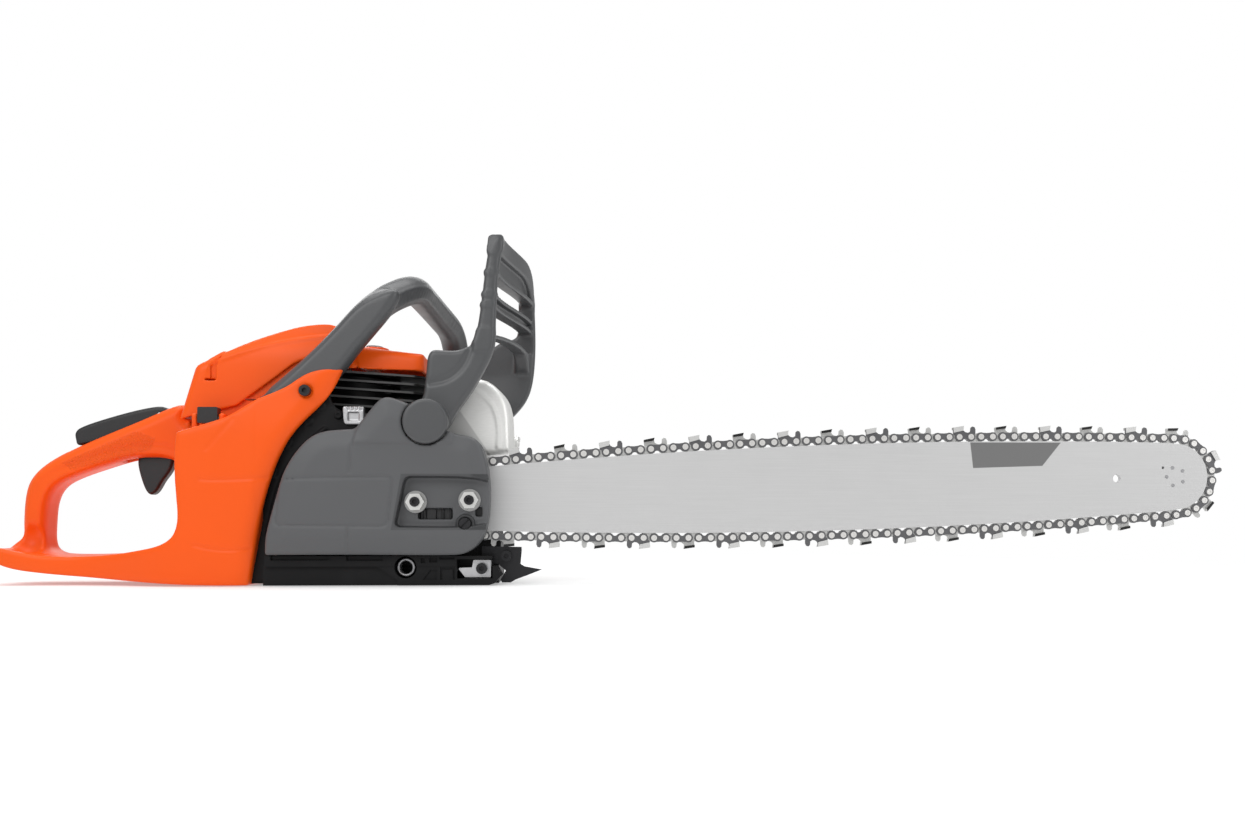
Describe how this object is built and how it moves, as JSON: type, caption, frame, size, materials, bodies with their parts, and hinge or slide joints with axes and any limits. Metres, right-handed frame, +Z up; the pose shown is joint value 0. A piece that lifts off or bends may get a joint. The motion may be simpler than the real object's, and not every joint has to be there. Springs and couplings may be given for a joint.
{
  "type": "chainsaw",
  "caption": "Petrol chainsaw with a long guide bar and cutting chain, orange rear-handle unit, gray clutch cover, bent front handle and a tilting hand guard.",
  "frame": {"origin": "on the ground, straight below the crankshaft axis, in the middle plane of the guide bar; the flat underside of the foot is there", "axes": "+X along the guide bar away from the engine, +Y to the operator's left, +Z up"},
  "size_m": [1.0442, 0.2203, 0.2852],
  "materials": {
    "orange_plastic": "satin moulded, fine grain",
    "cover_gray": "matt moulded mid gray",
    "handle_gray": "matt moulded dark gray",
    "black_casting": "light alloy casting painted black",
    "black_plastic": "black moulded",
    "bar_steel": "light coated bar steel with ground rails",
    "chain_steel": "oiled dark steel",
    "cutter_steel": "hard chromed cutters",
    "rivet_steel": "bright rivets",
    "zinc_steel": "bright zinc plated",
    "tool_steel": "machined steel",
    "screw_black": "blackened",
    "muffler_sheet": "pressed silver sheet",
    "cylinder_alloy": "light alloy painted black, with bright fin edges",
    "bare_alloy": "die cast",
    "rubber": "moulded rubber",
    "filter_felt": "pleated felt",
    "rope_cord": "braided cord",
    "spark_ceramic": "glazed white with steel shell",
    "valve_red": "gray knob with a red ring"
  },
  "bodies": {
    "root": {"air_filter": "filter_felt", "av_springs": "tool_steel", "bar_nuts": "zinc_steel", "bar_studs": "screw_black", "brake_band": "tool_steel", "brake_spring": "tool_steel", "carburettor": "bare_alloy", "case_screws": "screw_black", "chain_catcher": "bare_alloy", "chain_cutters": "cutter_steel", "chain_drive_links": "chain_steel", "chain_rivets": "rivet_steel", "chain_tie_straps": "chain_steel", "clutch_cover": "cover_gray", "clutch_drum": "tool_steel", "crankcase_left": "black_casting", "crankcase_right": "black_casting", "cylinder": "cylinder_alloy", "decompression_valve": "zinc_steel", "drum_bearing": "tool_steel", "front_handle": "handle_gray", "guard_pivots": "zinc_steel", "guide_bar": "bar_steel", "ignition_lead": "rubber", "ignition_module": "black_plastic", "intake_boot": "rubber", "lever_pins": "zinc_steel", "main_bearings": "tool_steel", "muffler": "muffler_sheet", "nose_sprocket": "tool_steel", "oil_pump": "bare_alloy", "recoil_spring": "tool_steel", "spark_plug": "spark_ceramic", "spike_bumper": "screw_black", "starter_housing": "orange_plastic", "tank_handle_unit": "orange_plastic", "tensioner_block": "tool_steel", "top_cover": "orange_plastic"},
    "crank": {"crankshaft": "tool_steel", "flywheel": "bare_alloy", "flywheel_nut": "tool_steel", "clutch_hub": "tool_steel", "clutch_shoes": "tool_steel", "clutch_spring": "tool_steel"},
    "piston": {"piston": "bare_alloy", "piston_rings": "tool_steel", "wrist_pin": "tool_steel"},
    "rod": {"connecting_rod": "tool_steel"},
    "guard": {"hand_guard": "handle_gray"},
    "trigger": {"throttle_trigger": "black_plastic"},
    "lockout": {"throttle_lockout": "black_plastic"},
    "decompression": {"decompression_button": "valve_red"},
    "starter_pull": {"starter_grip": "black_plastic", "starter_rope": "rope_cord"},
    "pulley": {"starter_pulley": "black_plastic"},
    "fuel_filler_cap": {"fuel_cap": "black_plastic"},
    "oil_filler_cap": {"oil_cap": "black_plastic"},
    "choke": {"choke_lever": "black_plastic"},
    "tension_screw": {"tensioner_screw": "screw_black"},
    "latch": {"cover_latch": "black_plastic"}
  },
  "joints": [
    {"name": "crank_spin", "type": "hinge", "parent": "root", "child": "crank", "pos_m": [0, 0.042, 0.0671], "axis": [0, 1, 0], "continuous": true},
    {"name": "piston_slide", "type": "slide", "parent": "root", "child": "piston", "axis": [0.061, 0, 0.9981], "range_m": [-0.032, 0]},
    {"name": "rod_swing", "type": "hinge", "parent": "piston", "child": "rod", "pos_m": [0.00464, 0.042, 0.14296], "axis": [0, 1, 0], "range_deg": [-15.5, 15.5]},
    {"name": "hand_guard_brake", "type": "hinge", "parent": "root", "child": "guard", "pos_m": [0.0704, 0.03, 0.1319], "axis": [0, 1, 0], "range_deg": [0, 22]},
    {"name": "throttle_trigger_pull", "type": "hinge", "parent": "root", "child": "trigger", "pos_m": [-0.16, 0.04, 0.112], "axis": [0, 1, 0], "range_deg": [0, 15], "stiffness_Nm_per_rad": 0.4, "springref_deg": -11.46},
    {"name": "lockout_press", "type": "hinge", "parent": "root", "child": "lockout", "pos_m": [-0.163, 0.04, 0.143], "axis": [0, 1, 0], "range_deg": [-5, 0], "stiffness_Nm_per_rad": 0.6, "springref_deg": 8.59},
    {"name": "decompression_press", "type": "slide", "parent": "root", "child": "decompression", "axis": [0.061, 0, 0.9981], "range_m": [-0.003, 0], "stiffness_N_per_m": 600, "springref_m": 0.002},
    {"name": "starter_pull_slide", "type": "slide", "parent": "root", "child": "starter_pull", "axis": [0, 0, 1], "range_m": [0, 0.08], "stiffness_N_per_m": 60, "springref_m": -0.03},
    {"name": "starter_pulley_turn", "type": "hinge", "parent": "root", "child": "pulley", "pos_m": [0, 0.109, 0.0671], "axis": [0, 1, 0], "range_deg": [-172, 0]},
    {"name": "fuel_cap_turn", "type": "hinge", "parent": "root", "child": "fuel_filler_cap", "pos_m": [-0.098, 0.1, 0.04], "axis": [0, 1, 0], "range_deg": [0, 90]},
    {"name": "oil_cap_turn", "type": "hinge", "parent": "root", "child": "oil_filler_cap", "pos_m": [0.096, 0.076, 0.044], "axis": [0, 1, 0], "range_deg": [0, 90]},
    {"name": "choke_pull", "type": "slide", "parent": "root", "child": "choke", "axis": [-1, 0, 0], "range_m": [0, 0.01]},
    {"name": "tension_screw_turn", "type": "hinge", "parent": "root", "child": "tension_screw", "pos_m": [0.1015, -0.03, 0.0502], "axis": [0, 1, 0], "range_deg": [-90, 0]},
    {"name": "cover_latch_swing", "type": "hinge", "parent": "root", "child": "latch", "pos_m": [-0.108, -0.0132, 0.1362], "axis": [1, 0, 0], "range_deg": [0, 55]}
  ],
  "couplings": [
    {"joint": "starter_pulley_turn", "follows": "starter_pull_slide", "rad_per_m": -37.037}
  ]
}
